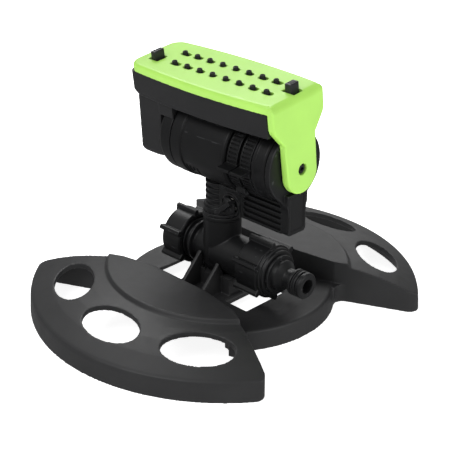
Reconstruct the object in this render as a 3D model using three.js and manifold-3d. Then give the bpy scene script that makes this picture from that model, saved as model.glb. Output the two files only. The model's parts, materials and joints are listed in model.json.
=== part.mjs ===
// Oscillating lawn sprinkler: a fan-footed base, a through-flow tee, a turbine drive drum
// and a tilting head with sixteen rubber nozzles.
// Frame: millimetres, +Z up, ground at Z = 0. X runs along the water pipe and the oscillation
// axis, with the hose inlet at +X. Pieces are drawn about the riser's axis, and the finished
// group is moved along X so that the origin is the centre of the base.
import * as THREE from "three";
import { mergeVertices } from "three/addons/utils/BufferGeometryUtils.js";
import Module from "manifold-3d";

const wasm = await Module();
wasm.setup();

// ---------------------------------------------------------------- driving dimensions
const CLEAR = 0.3; // running clearance between neighbouring pieces
const PIPE_Z = 31.5; // height of the water pipe's axis
const PIVOT_Z = 103; // height of the oscillation axis
const HEAD_TILT = THREE.MathUtils.degToRad(7); // the head rests leaning towards -Y

const BASE = {
  originX: 2.55, // middle of the whole footprint
  rimX: 1.6, // the base sits a little towards the inlet of the riser
  centreX: 4.5, // and its platforms, holes and valley a little more
  endsX: 5.2, // and so do the lobes' ends
  rimRadius: 119.8, // outer arc of the two fan lobes
  rimHeight: 13,
  crownRadius: 95, // the lobes rise in a shallow dome towards the platforms
  crownHeight: 20.4,
  stepRadius: 73, // where the raised platform starts
  stepFoot: 24.2,
  platformTop: 26.3,
  innerWall: 38, // half width of the valley between the platforms
  wallEnd: 42.6, // the same at the lobes' ends, where the walls splay
  endSlope: 0.47, // the lobes' straight ends, y = slope * x + offset
  endOffset: 19.7,
  cornerRadius: 6,
  skin: 2.6,
  discRadius: 66, // low round floor of the valley
  discTop: 11.9,
  floorTop: 9,
};
const HOLE = { along: 21.7, across: 12.4, radius: 95.5, spread: 34.5, lip: 2, depth: 3.6 };
const WINDOW = { left: [-36.5, -20], right: [22.5, 37.5], half: 17 }; // either side of the pedestal
const PEDESTAL = { x0: -17.2, x1: 20, half: 11, top: 20, wall: 2.6 };

const HUB_R = 11.6; // upright branch of the tee
// Grip lugs of the end cap and of the inlet nut.
const WING = { count: 6, firstTurn: 33.7, bodyR: 16.5, lugR: 19.2, boreR: 13.7, lugWidth: 3.6 };
const NIPPLE = { tipX: 69.4, ringR: 8, neckR: 6.2, boreR: 4.4 };

const DRUM = { outerR: 24.2, innerR: 22.1, neckX: 24.6, coverX: 44 };
const NECK = { outerR: 18.6, innerR: 16 };
const FLANGE = { radius: 21.3, backX: 53.8, faceX: 57.4, footX: 60 };

const TRAY = {
  leftX: -53.2,
  rightX: 57,
  corner: 4,
  endHalf: 19.6,
  midHalf: 22.3,
  lowZ: 24.5,
  floorZ: 30,
  topZ: 39.3,
};
const COVER = {
  leftX: -53.2,
  rightX: 63,
  corner: 9,
  endHalf: 20,
  midHalf: 23.2,
  lowZ: 39.6,
  topZ: 44.6,
  skin: 2.3,
};
const ARM = { half: 19.4, bottomZ: -19.2, corner: 9 }; // waterway arm at the -X end
const NOZZLES = { perRow: 8, pitch: 10.38, frontX: 9.6, stagger: -5.13, rowY: 6.7, tipZ: 46.3 };
const SLIDER = { lowZ: 40.4, topZ: 41.8, travel: 2 };

// ---------------------------------------------------------------- materials
function plastic(color, roughness) {
  return new THREE.MeshStandardMaterial({ color, roughness, metalness: 0 });
}
function metal(color, roughness) {
  return new THREE.MeshStandardMaterial({ color, roughness, metalness: 1 });
}
const BLACK = plastic(0x2b2c2e, 0.5);
const DRUM_BLACK = plastic(0x232426, 0.45);
const LIME = plastic(0xa4e35a, 0.4);
const RUBBER = plastic(0x17181a, 0.8);
const NATURAL = plastic(0xe8e6dc, 0.5);
const STEEL = metal(0xb8bcc0, 0.3);
const BRASS = metal(0xc9a24a, 0.35);

// ---------------------------------------------------------------- solids
// A closed three.js geometry as a boolean solid, faces out.
function solid(geometry) {
  const bare = new THREE.BufferGeometry();
  const flat = geometry.index ? geometry.toNonIndexed() : geometry;
  bare.setAttribute("position", flat.getAttribute("position"));
  const merged = mergeVertices(bare, 1e-4);
  const index = merged.index.array;
  const faces = [];
  for (let i = 0; i < index.length; i += 3) {
    const [a, b, c] = [index[i], index[i + 1], index[i + 2]];
    if (a !== b && b !== c && c !== a) faces.push(a, b, c);
  }
  const build = (tris) =>
    new wasm.Manifold(
      new wasm.Mesh({
        numProp: 3,
        vertProperties: merged.attributes.position.array,
        triVerts: new Uint32Array(tris),
      }),
    );
  const made = build(faces);
  return made.volume() < 0 ? build(faces.reverse()) : made;
}

function unite(...solids) {
  return solids.reduce((sum, next) => sum.add(next));
}

function cut(body, ...tools) {
  return tools.reduce((left, tool) => left.subtract(tool), body);
}

// A named mesh from a boolean solid.
function part(name, shape, material) {
  const mesh = shape.getMesh();
  const geometry = new THREE.BufferGeometry();
  geometry.setAttribute("position", new THREE.BufferAttribute(mesh.vertProperties, 3));
  geometry.setIndex(new THREE.BufferAttribute(mesh.triVerts, 1));
  geometry.computeVertexNormals();
  const made = new THREE.Mesh(geometry, material);
  made.name = name;
  return made;
}

// Solids of revolution from a closed or axis-to-axis profile of [station, radius] pairs.
function latheAbout(axis, profile, segments) {
  const points = profile.map(([station, radius]) => new THREE.Vector2(radius, station));
  const geometry = new THREE.LatheGeometry(points, segments);
  if (axis === "x") geometry.rotateZ(-Math.PI / 2);
  if (axis === "z") geometry.rotateX(Math.PI / 2);
  return solid(geometry);
}
const turnX = (profile, segments = 32) => latheAbout("x", profile, segments);
const turnY = (profile, segments = 20) => latheAbout("y", profile, segments);
const turnZ = (profile, segments = 32) => latheAbout("z", profile, segments);

// Plain rods and rings.
function rodProfile(from, to, radius) {
  return [[from, 0], [from, radius], [to, radius], [to, 0]];
}
function ringProfile(from, to, inner, outer) {
  return [[from, inner], [from, outer], [to, outer], [to, inner], [from, inner]];
}
const rodX = (from, to, radius, segments) => turnX(rodProfile(from, to, radius), segments);
const rodY = (from, to, radius, segments) => turnY(rodProfile(from, to, radius), segments);
const rodZ = (from, to, radius, segments) => turnZ(rodProfile(from, to, radius), segments);
const ringX = (from, to, inner, outer, segments) =>
  turnX(ringProfile(from, to, inner, outer), segments);
const ringZ = (from, to, inner, outer, segments) =>
  turnZ(ringProfile(from, to, inner, outer), segments);

function block(x0, x1, y0, y1, z0, z1) {
  const geometry = new THREE.BoxGeometry(x1 - x0, y1 - y0, z1 - z0);
  geometry.translate((x0 + x1) / 2, (y0 + y1) / 2, (z0 + z1) / 2);
  return solid(geometry);
}

// An outline in the XY plane raised from z0 to z1.
function raise(points, z0, z1) {
  const geometry = new THREE.ExtrudeGeometry(new THREE.Shape(points), {
    depth: z1 - z0,
    bevelEnabled: false,
  });
  geometry.translate(0, 0, z0);
  return solid(geometry);
}

// An outline in the YZ plane drawn out from x0 to x1.
function slab(points, x0, x1) {
  const geometry = new THREE.ExtrudeGeometry(new THREE.Shape(points), {
    depth: x1 - x0,
    bevelEnabled: false,
  });
  geometry.rotateX(Math.PI / 2);
  geometry.rotateZ(Math.PI / 2);
  geometry.translate(x0, 0, 0);
  return solid(geometry);
}

// An outline in the XZ plane drawn out from y0 to y1.
function across(points, y0, y1) {
  return raise(points.map(([x, z]) => new THREE.Vector2(x, z)), -y1, -y0).rotate([90, 0, 0]);
}

function arc(cx, cy, radius, from, to, steps) {
  return Array.from({ length: steps + 1 }, (_, i) => {
    const angle = from + ((to - from) * i) / steps;
    return new THREE.Vector2(cx + radius * Math.cos(angle), cy + radius * Math.sin(angle));
  });
}

function stadium(length, radius, steps = 6) {
  const half = length / 2 - radius;
  return [
    ...arc(half, 0, radius, -Math.PI / 2, Math.PI / 2, steps),
    ...arc(-half, 0, radius, Math.PI / 2, 1.5 * Math.PI, steps),
  ];
}

// A rod of the given radius swept along straight runs between points.
function wire(points, radius) {
  const path = new THREE.CatmullRomCurve3(points.map(([x, y, z]) => new THREE.Vector3(x, y, z)));
  const section = new THREE.Shape(arc(0, 0, radius, 0, 2 * Math.PI, 6).slice(0, 6));
  return solid(new THREE.ExtrudeGeometry(section, { extrudePath: path, steps: 16 }));
}

// ---------------------------------------------------------------- base
// Height of the lobes and platforms over a radius, dropped by an inset.
function crownProfile(inset) {
  const { rimRadius, rimHeight, crownRadius, crownHeight, stepRadius, stepFoot } = BASE;
  const r = rimRadius - inset;
  const foot = inset ? -1 : 0;
  return [
    [foot, 0],
    [foot, r],
    [rimHeight - 2 - inset, r - 0.9],
    [rimHeight - inset, r - 2.9],
    [(rimHeight + crownHeight) / 2 + 0.4 - inset, (r + crownRadius) / 2 - 1],
    [crownHeight - inset, crownRadius],
    [(crownHeight + stepFoot) / 2 + 0.4 - inset, (stepRadius + crownRadius) / 2],
    [stepFoot - inset, stepRadius],
    [stepFoot - inset, 0],
  ];
}

function platformProfile() {
  const { stepRadius: r, stepFoot, platformTop: top } = BASE;
  return [[stepFoot - 2, 0], [stepFoot - 2, r + 3], [top - 0.5, r + 1], [top, r], [top, 0]];
}

// One end of a lobe's plan outline, from the valley wall to the rim, shrunk by an inset.
// A positive shift moves the straight end away from the lobe's middle.
function lobeEnd(inset, shift) {
  const s = BASE.endSlope;
  const norm = Math.hypot(1, s);
  const line = (BASE.endOffset - s * shift) / norm + inset;
  const radius = BASE.rimRadius - inset;
  const fillet = BASE.cornerRadius - inset;
  const reach = Math.sqrt((radius - fillet) ** 2 - (line + fillet) ** 2);
  const cx = (-s * (line + fillet) + reach) / norm;
  const cy = (line + fillet + s * reach) / norm;
  const rimAngle = Math.atan2(cy, cx);
  const wallX = (BASE.wallEnd + inset - line * norm) / s;
  const points = [
    new THREE.Vector2(22, BASE.innerWall + inset),
    new THREE.Vector2(wallX, BASE.wallEnd + inset),
    ...arc(cx, cy, fillet, Math.atan2(-1, s), rimAngle, 5),
  ];
  return { points, rimAngle };
}

// Plan outline of one lobe with its platform. Its rim runs outside the crown, which gives the
// lobe its edge.
function lobePlan(inset) {
  const shift = BASE.endsX - BASE.rimX;
  const right = lobeEnd(inset, shift);
  const left = lobeEnd(inset, -shift);
  const rim = arc(0, 0, BASE.rimRadius - inset + 3, right.rimAngle - 0.005,
    Math.PI - left.rimAngle + 0.005, 12);
  const mirrored = left.points.map((p) => new THREE.Vector2(-p.x, p.y)).reverse();
  return [...right.points, ...rim, ...mirrored];
}

function ovalHole(turn, grow, z0, z1) {
  const outline = Array.from({ length: 20 }, (_, i) => {
    const a = (i * 2 * Math.PI) / 20;
    return new THREE.Vector2((HOLE.across + grow) * Math.cos(a), (HOLE.along + grow) * Math.sin(a));
  });
  return raise(outline, z0, z1)
    .translate([HOLE.radius, 0, 0])
    .rotate([0, 0, 90 + turn * HOLE.spread])
    .translate([BASE.centreX - BASE.rimX, 0, 0]);
}

// One fan lobe with its raised platform and three oval holes, drawn on the +Y side.
function lobe() {
  const platform = turnZ(platformProfile(), 40).translate([BASE.centreX - BASE.rimX, 0, 0]);
  const crown = turnZ(crownProfile(0), 48);
  const outer = unite(crown, platform).intersect(raise(lobePlan(0), -2, 60));
  const inner = turnZ(crownProfile(BASE.skin), 24).intersect(raise(lobePlan(BASE.skin), -2, 60));
  const top = outer.subtract(turnZ(crownProfile(HOLE.depth), 24));
  let shell = outer.subtract(inner);
  for (const turn of [-1, 0, 1]) {
    shell = shell.add(ovalHole(turn, HOLE.lip, 9.5, 40).intersect(top));
  }
  for (const turn of [-1, 0, 1]) shell = shell.subtract(ovalHole(turn, 0, -1, 50));
  return shell;
}

function valleyDisc() {
  const { discRadius: r, discTop: top, floorTop } = BASE;
  const skin = 2.4;
  const full = turnZ(
    [[0, 0], [0, r], [top - 1, r - 1.6], [top, r - 2.6], [top - 0.3, r - 4.4], [floorTop, 46],
      [floorTop, 0]],
    48,
  );
  const hollow = turnZ(
    [[-1, 0], [-1, r - skin], [top - 1 - skin, r - 1.6 - skin], [top - skin, r - 4.4],
      [floorTop - skin, 46], [floorTop - skin, 0]],
    24,
  );
  const strip = block(-80, 80, -BASE.wallEnd - 1, BASE.wallEnd + 1, -2, 20);
  return full.subtract(hollow).intersect(strip).translate([BASE.centreX, 0, 0]);
}

// Hollow block under the tee, with four raking gusset plates and two screw bosses.
function pedestal() {
  const { x0, x1, half, top, wall } = PEDESTAL;
  const gussetX = 8.7;
  const rake = [[9, 31.2], [10.9, 31.2], [33.4, 8], [9, 8]];
  let body = cut(
    block(x0, x1, -half, half, 3, top),
    block(x0 + wall, x1 - wall, -half + wall, half - wall, 2, 15.6),
  );
  for (const sx of [-1, 1]) {
    for (const sy of [-1, 1]) {
      const outline = rake.map(([y, z]) => new THREE.Vector2(sy * y, z));
      const x = sx * gussetX;
      body = body.add(slab(outline, x - 1.2, x + 1.2));
    }
  }
  for (const y of [-5.5, 5.5]) {
    body = body.add(rodZ(8.6, 17, 4.8, 20).translate([0, y, 0]));
  }
  for (const y of [-5.5, 5.5]) {
    body = cut(
      body,
      rodZ(2, 12, 3.7, 20).translate([0, y, 0]),
      rodZ(11, 20, 1.9, 12).translate([0, y, 0]),
    );
  }
  return body;
}

function teeEnvelope(grow) {
  return unite(
    rodZ(18, 61, HUB_R + grow, 40),
    rodX(-35, 0, 10.2 + grow, 40).translate([0, 0, PIPE_Z]),
    rodX(-35, -15.4, 13.4 + grow, 40).translate([0, 0, PIPE_Z]),
    rodX(0, 27.5, 12.6 + grow, 40).translate([0, 0, PIPE_Z]),
  );
}

function basePlate() {
  const fan = lobe().translate([BASE.rimX, 0, 0]);
  const plate = unite(fan, fan.mirror([0, 1, 0]), valleyDisc());
  const { x0, x1, half, wall } = PEDESTAL;
  const under = block(x0 + wall, x1 - wall, -half + wall, half - wall, -1, 14);
  const windows = [WINDOW.left, WINDOW.right].map(([from, to]) =>
    block(from, to, -WINDOW.half, WINDOW.half, -1, 14));
  const body = unite(cut(plate, under, ...windows), cut(pedestal(), teeEnvelope(CLEAR)));
  return part("base_plate", body, BLACK);
}

function pedestalScrew(name, y) {
  const shape = turnZ([[9.2, 0], [9.2, 3.1], [11.7, 3.1], [11.7, 1.5], [24, 1.5], [25.5, 0]], 16);
  const slot = unite(block(-2, 2, -0.4, 0.4, 9, 10.2), block(-0.4, 0.4, -2, 2, 9, 10.2));
  return part(name, cut(shape, slot).translate([0, y, 0]), STEEL);
}

// ---------------------------------------------------------------- water pipe
function teeBody() {
  const z = PIPE_Z;
  const onPipe = (profile, segments) => turnX(profile, segments).translate([0, 0, z]);
  let body = unite(
    rodZ(24, 55, HUB_R, 24),
    rodZ(54.6, 57, 12.1, 24),
    block(-7.2, 7.2, -8.6, 8.6, 19.5, 26),
    onPipe([[-32.4, 0], [-32.4, 12.6], [-31.6, 13.1], [-21, 13.1], [-20.4, 10.8], [-18, 10.8],
      [-17.6, 13.4], [-16, 13.4], [-15.6, 10.2], [0, 10.2], [0, 0]], 22),
    onPipe([[0, 0], [0, 12.6], [27, 12.6], [28, 13.1], [39.6, 13.1], [40.4, 12.6], [40.4, 0]], 22),
  );
  body = cut(
    body,
    rodX(-40, 50, 8, 16).translate([0, 0, z]),
    rodZ(z, 60, 6.4, 16),
    rodZ(45, 60, 8.7, 20),
    rodZ(19, 27, 1.8, 16).translate([0, -5.5, 0]).intersect(block(-3, 3, -9, 9, 18, 26.5)),
    rodZ(19, 27, 1.8, 16).translate([0, 5.5, 0]).intersect(block(-3, 3, -9, 9, 18, 26.5)),
  );
  return part("tee_body", body, BLACK);
}

// The six grip lugs of the end cap and of the inlet nut.
function lugs(from, to) {
  const outline = [
    new THREE.Vector2(WING.bodyR - 1.2, -WING.lugWidth / 2 - 0.4),
    new THREE.Vector2(WING.lugR, -WING.lugWidth / 2 + 0.5),
    new THREE.Vector2(WING.lugR, WING.lugWidth / 2 - 0.5),
    new THREE.Vector2(WING.bodyR - 1.2, WING.lugWidth / 2 + 0.4),
  ];
  const bar = slab(outline, from, to);
  return Array.from({ length: WING.count }, (_, i) =>
    bar.rotate([WING.firstTurn + (i * 360) / WING.count, 0, 0]));
}

function endCap() {
  const body = turnX([[-36, 0], [-36, 14.6], [-34.8, WING.bodyR], [-19.4, WING.bodyR],
    [-18.7, 15.8], [-18.7, WING.boreR], [-34, WING.boreR], [-34, 0]], 28);
  return part("end_cap", unite(body, ...lugs(-36.4, -18)).translate([0, 0, PIPE_Z]), BLACK);
}

function inletNut() {
  const body = turnX([[26, 13.4], [26, 15.6], [26.8, WING.bodyR], [42.8, WING.bodyR],
    [42.8, 15.4], [44.6, 15.2], [44.6, 14.2], [46.2, 14], [46.6, 13.2], [46.6, 11], [44.6, 11],
    [44.6, WING.boreR], [28.2, WING.boreR], [26, 13.4]], 28);
  return part("inlet_nut", unite(body, ...lugs(25, 43.6)).translate([0, 0, PIPE_Z]), BLACK);
}

function hoseNipple() {
  const { ringR, neckR, boreR, tipX } = NIPPLE;
  const body = turnX([[42.1, boreR], [42.1, 12.8], [44.3, 12.8], [44.3, 10.7], [47, 10.7],
    [47, 11.9], [48.6, 11.9], [48.6, 9.6], [51.2, 9.6], [52.2, 8.6], [55, neckR], [59.9, neckR],
    [60.3, ringR], [61.9, ringR], [62.1, neckR], [63.9, neckR], [64.1, ringR], [65.4, ringR],
    [65.6, 7], [66.4, 7], [66.6, ringR], [tipX - 0.8, ringR - 0.1], [tipX, ringR - 0.9],
    [tipX, boreR], [42.1, boreR]], 20);
  return part("hose_nipple", body.translate([0, 0, PIPE_Z]), BLACK);
}

function roundRing(x, ringRadius, wireRadius) {
  const profile = arc(x, ringRadius, wireRadius, 0, 2 * Math.PI, 6).map((p) => [p.x, p.y]);
  profile[6] = profile[0];
  return turnX(profile, 20);
}

function pipeSmallParts() {
  const onPipe = (shape) => shape.translate([0, 0, PIPE_Z]);
  const filter = turnX([[41.7, 7.2], [41.7, 7.7], [40.7, 7.7], [40.7, 6.9], [29, 2.6], [29, 1.2],
    [40.9, 5.9], [41.7, 7.2]], 16);
  const holes = Array.from({ length: 6 }, (_, i) =>
    block(32, 38, -0.7, 0.7, 0, 9).rotate([i * 60, 0, 0]));
  return [
    part("inlet_washer", onPipe(ringX(40.7, 41.8, 8.2, 12.6, 32)), RUBBER),
    part("inlet_filter", onPipe(cut(filter, ...holes)), NATURAL),
    part("nipple_oring", onPipe(roundRing(63, 7.15, 0.75)), RUBBER),
    part("end_cap_washer", onPipe(rodX(-33.8, -32.6, 12.4, 32)), RUBBER),
  ];
}

// ---------------------------------------------------------------- riser and valve
const VALVE = { x: 16, z: 69, plugR: 5, turn: -41 }; // the lever rests part way round
const RIB = { firstZ: 63.4, pitch: 3.6, half: 0.85, count: 6 };

// End plate: the round flange of the drum flowing down into the foot.
function flangePlate() {
  const foot = 7.3;
  const low = 62.5 - PIVOT_Z;
  const r = FLANGE.radius;
  const fillet = 12;
  const cx = foot + fillet;
  const cz = -Math.sqrt((r + fillet) ** 2 - cx ** 2);
  const touch = Math.atan2(-cz, -cx);
  const right = [
    new THREE.Vector2(foot - 1, low),
    new THREE.Vector2(foot, low + 1.5),
    ...arc(cx, cz, fillet, Math.PI, touch, 6),
  ];
  const left = right.map((p) => new THREE.Vector2(-p.x, p.y)).reverse();
  const start = Math.atan2(cz, cx);
  const ring = arc(0, 0, r, start, Math.PI - start, 24).slice(1, -1);
  const outline = [...right, ...ring, ...left].map((p) => new THREE.Vector2(p.x, p.y + PIVOT_Z));
  const plate = slab(outline, FLANGE.backX, FLANGE.faceX);
  const footFace = slab(outline, FLANGE.faceX - 0.5, FLANGE.footX).intersect(
    block(50, 70, -foot - 1, foot + 1, 50, 87.6),
  );
  const inset = block(FLANGE.footX - 0.7, 70, -foot + 1.7, foot - 1.7, 64.6, 86);
  return cut(unite(plate, footFace), inset);
}

function riserBody() {
  const topZ = 88;
  const column = rodZ(61.6, topZ, 8.8, 20);
  const spine = block(0, FLANGE.backX + 0.5, -5.2, 5.2, 62.5, topZ);
  let body = unite(
    column,
    spine,
    rodZ(59.4, 62.6, 11.6, 24),
    rodZ(46, 60, 8.2, 20),
    block(22.6, 24.4, -7.3, 7.3, 62.5, topZ),
    block(6, 23, -8.6, 0, 62.5, 80.5),
    block(8.6, 27.6, -9.4, -7.2, 77.6, 82.4),
    rodY(-10.2, -4, 7.6, 20).translate([VALVE.x, 0, VALVE.z]),
  );
  for (let i = 0; i < RIB.count; i++) {
    const z = RIB.firstZ + i * RIB.pitch;
    const [low, high] = [z - RIB.half, z + RIB.half];
    body = unite(
      body,
      rodZ(low, high, 10.2, 16).intersect(block(-12, 6, -12, 12, 60, 90)),
      block(4, 24, 0, 9.8, low, high),
      block(24, FLANGE.backX + 0.5, -7.3, 7.3, low, high),
    );
  }
  body = cut(body, rodX(-60, FLANGE.backX, DRUM.outerR + 0.9, 36).translate([0, 0, PIVOT_Z]));
  body = unite(body, flangePlate());
  const plugBore = rodY(-12, 6.3, VALVE.plugR + CLEAR, 20).translate([VALVE.x, 0, VALVE.z]);
  body = cut(
    body,
    rodZ(45, 63.4, 5.4, 16),
    block(-3.6, VALVE.x + 3.6, -3.6, 3.6, 63.2, 66),
    rodZ(64, 90, 4.4, 16).translate([VALVE.x, 0, 0]),
    plugBore,
    rodX(50, 62, 2.2, 20).translate([0, 0, PIVOT_Z]),
  );
  const groove = ringZ(50.2, 52.4, 6.8, 9, 24);
  return part("riser_body", cut(body, groove), BLACK);
}

function riserSmallParts() {
  const oring = arc(51.3, 7.8, 0.75, 0, 2 * Math.PI, 6).map((p) => [p.x, p.y]);
  oring[6] = oring[0];
  return [
    part("riser_lock_ring", ringZ(57.3, 59.1, 8.5, 11.9, 28), BLACK),
    part("riser_oring", turnZ(oring, 20), RUBBER),
  ];
}

function flowKnob() {
  const disc = turnY([[-13.4, 0], [-13.4, 5.6], [-12.8, 6.6], [-10.9, 6.6], [-10.9, 3],
    [-10.5, 3], [-10.5, 0]], 28);
  const lever = raise(stadium(15, 1.6, 4), 13, 17.2).rotate([90, VALVE.turn, 0]);
  const stem = rodY(-10.6, -5.4, 2.4, 16);
  const at = [VALVE.x, 0, VALVE.z];
  return part("flow_knob", unite(disc, lever, stem).translate(at), BLACK);
}

function valvePlug() {
  const plug = cut(
    unite(rodY(-5.1, 5.9, VALVE.plugR, 20), rodY(-6.6, -5, 3.4, 20)),
    rodZ(-8, 8, 3.9, 16),
    rodY(-8, -3.9, 2.6, 20),
  );
  return part("valve_plug", plug.rotate([0, VALVE.turn, 0]).translate([VALVE.x, 0, VALVE.z]), NATURAL);
}

// ---------------------------------------------------------------- drive drum
const onAxis = (shape) => shape.translate([0, 0, PIVOT_Z]);
const SHAFT = { outerR: 5, innerR: 3.7, fromX: -34, toX: 8.5 };
const GEAR = { module: 0.75, wide: 32, middle: 16, small: 8 };
const TURBINE = { y: 0, z: -10 }; // shaft places relative to the oscillation axis
const IDLER = { y: 8.73, z: -12.2 };

function drumLeftCap() {
  const body = turnX([[-29, 6.9], [-29, 21], [-28.2, 22.4], [-26.4, 23.6], [-23, DRUM.outerR],
    [-19.6, DRUM.outerR], [-19.6, DRUM.innerR], [-25.6, DRUM.innerR], [-25.6, 9.4],
    [-21.8, 9.4], [-21.8, 6.9], [-24, 6.9], [-24, 8], [-26.2, 8], [-26.2, 6.9], [-29, 6.9]], 28);
  return part("drum_left_cap", onAxis(body), DRUM_BLACK);
}

function drumBody() {
  const r = DRUM.outerR;
  let body = turnX([[-18.9, DRUM.innerR], [-18.9, r], [-18.3, r + 0.5], [-11, r + 0.5],
    [-10.4, r], [24, r], [DRUM.neckX, r - 0.6], [DRUM.neckX, NECK.outerR], [43.6, NECK.outerR],
    [43.6, NECK.innerR], [24.6, NECK.innerR], [24.6, 2.2], [22, 2.2], [22, DRUM.innerR],
    [-18.9, DRUM.innerR]], 28);
  body = cut(
    body,
    rodZ(-30, -18, 4.2, 16).translate([VALVE.x, 0, 0]),
    triggerSlot(),
  );
  return part("drum_body", onAxis(body), DRUM_BLACK);
}

// Sector window in the drum's neck that the trip lever swings in.
function triggerSlot() {
  const reach = 30;
  const spread = THREE.MathUtils.degToRad(19);
  const middle = THREE.MathUtils.degToRad(222);
  const outline = [new THREE.Vector2(0, 0), ...arc(0, 0, reach, middle - spread, middle + spread, 6)];
  return slab(outline, 33.7, 35.5).subtract(rodX(30, 40, 14, 24));
}

function drumRightCover() {
  const body = turnX([[DRUM.coverX, 0], [DRUM.coverX, 21.9], [DRUM.coverX + 0.6, 22.4],
    [DRUM.coverX + 1.4, 22.4], [DRUM.coverX + 1.8, 21.6], [52.4, 21.6], [53.5, 20.6],
    [53.5, 18], [DRUM.coverX + 2.4, 18], [DRUM.coverX + 2.4, 0]], 28);
  const shaftHole = rodX(43, 48, 1.9, 16);
  const pinBoss = ringX(46, 53.5, 2.5, 6, 20);
  return part("drum_right_cover", onAxis(unite(cut(body, shaftHole), pinBoss)), DRUM_BLACK);
}

// Turn, in degrees, that points a tooth (or the gap beside it) of a gear along a direction.
function clock(teeth, y, z, gap = false) {
  const direction = THREE.MathUtils.radToDeg(Math.atan2(z, y));
  return direction + (gap ? 180 / teeth : 0);
}

// A spur gear lying across X, centred on the axis.
function gearX(teeth, from, to, boreR) {
  const pitchR = (GEAR.module * teeth) / 2;
  const step = (2 * Math.PI) / teeth;
  const corners = [[-0.24, -1.1], [-0.09, 0.75], [0.09, 0.75], [0.24, -1.1]];
  const outline = Array.from({ length: teeth }, (_, i) =>
    corners.map(([turn, grow]) => {
      const angle = (i + turn) * step;
      const r = pitchR + grow * GEAR.module;
      return new THREE.Vector2(r * Math.cos(angle), r * Math.sin(angle));
    })).flat();
  const gear = slab(outline, from, to);
  return boreR ? cut(gear, rodX(from - 1, to + 1, boreR, 20)) : gear;
}

function driveParts() {
  const turbineAt = (shape) => onAxis(shape).translate([0, TURBINE.y, TURBINE.z]);
  const idlerAt = (shape) => onAxis(shape).translate([0, IDLER.y, IDLER.z]);
  const blade = block(11, 18, -0.45, 0.45, 3, 10.2);
  const blades = Array.from({ length: 12 }, (_, i) => blade.rotate([i * 30 + 9, 0, 0]));
  const hub = ringX(10.6, 18.4, 1.15, 3.6, 24);
  const bulkhead = cut(
    unite(rodX(4.6, 6.8, 21.8, 32), rodX(0.6, 9.8, 2.9, 20).translate([0, TURBINE.y, TURBINE.z])),
    rodX(4, 8, SHAFT.outerR + 0.25, 24),
    rodX(0, 11, 1.25, 16).translate([0, TURBINE.y, TURBINE.z]),
    rodX(4, 5.9, 1.25, 16).translate([0, IDLER.y, IDLER.z]),
  );
  const plate = cut(
    rodX(-17.6, -15.6, 21.8, 32),
    rodX(-18, -15, SHAFT.outerR + 0.25, 24),
    rodX(-18, -15, 1.25, 16).translate([0, IDLER.y, IDLER.z]),
  );
  const toTurbine = [TURBINE.y - IDLER.y, TURBINE.z - IDLER.z];
  const compound = unite(
    gearX(GEAR.middle, -6, -2.6, 0).rotate([clock(GEAR.middle, ...toTurbine, true), 0, 0]),
    gearX(GEAR.small, -14.2, -5.9, 0).rotate([clock(GEAR.small, -IDLER.y, -IDLER.z), 0, 0]),
  );
  const pinionTurn = clock(GEAR.small, -toTurbine[0], -toTurbine[1]);
  const pinion = gearX(GEAR.small, -6.2, -2.4, 1.15).rotate([pinionTurn, 0, 0]);
  return {
    fixed: [
      part("gearbox_bulkhead", onAxis(bulkhead), NATURAL),
      part("gearbox_plate", onAxis(plate), NATURAL),
      part("shaft_seal", onAxis(ringX(-25.9, -24.3, 5.2, 7.8, 32)), RUBBER),
    ],
    turbine: [
      part("turbine_wheel", turbineAt(unite(hub, ...blades)), NATURAL),
      part("turbine_shaft", turbineAt(rodX(-7.4, 18.9, 1, 12)), STEEL),
      part("turbine_pinion", turbineAt(pinion), BRASS),
    ],
    idler: [
      part("idler_gear", idlerAt(cut(compound, rodX(-15, -2, 1.15, 16))), NATURAL),
      part("idler_shaft", idlerAt(rodX(-17.2, 5.6, 1, 12)), STEEL),
    ],
  };
}

function outputParts() {
  const shaft = ringX(SHAFT.fromX, SHAFT.toX, SHAFT.innerR, SHAFT.outerR, 24);
  const lean = THREE.MathUtils.radToDeg(HEAD_TILT);
  const gear = gearX(GEAR.wide, -13.6, -10, SHAFT.outerR + 0.15);
  const turn = clock(GEAR.wide, IDLER.y, IDLER.z, true) - lean;
  return [
    part("output_shaft", shaft, NATURAL),
    part("output_gear", gear.rotate([turn, 0, 0]), NATURAL),
  ];
}

// Sweep-limit ring: plain lips, a knurled band and a finger tab pointing to -Y.
function sweepRing(name, from, to) {
  const ribs = 24;
  const tipR = 22.1;
  const rootR = 20.9;
  const outline = Array.from({ length: ribs }, (_, i) =>
    [[-0.25, tipR], [0.25, tipR], [0.5, rootR]].map(([turn, r]) => {
      const angle = ((i + turn) * 2 * Math.PI) / ribs;
      return new THREE.Vector2(r * Math.cos(angle), r * Math.sin(angle));
    })).flat();
  const band = slab(outline, from + 0.9, to - 0.9);
  const lips = unite(rodX(from, from + 1, tipR + 0.3, 28), rodX(to - 1, to, tipR + 0.3, 28));
  const tab = slab(
    [[-29.6, -2.3], [-29.8, -1.6], [-29.6, -0.9], [-24, -0.2], [-19.6, 1.6], [-19.6, -4.6],
      [-24, -2.8]].map(([y, z]) => new THREE.Vector2(y, z)),
    from,
    to,
  );
  const bore = rodX(from - 1, to + 1, NECK.outerR + 0.25, 28);
  return part(name, onAxis(cut(unite(band, lips, tab), bore)), DRUM_BLACK);
}

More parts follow.
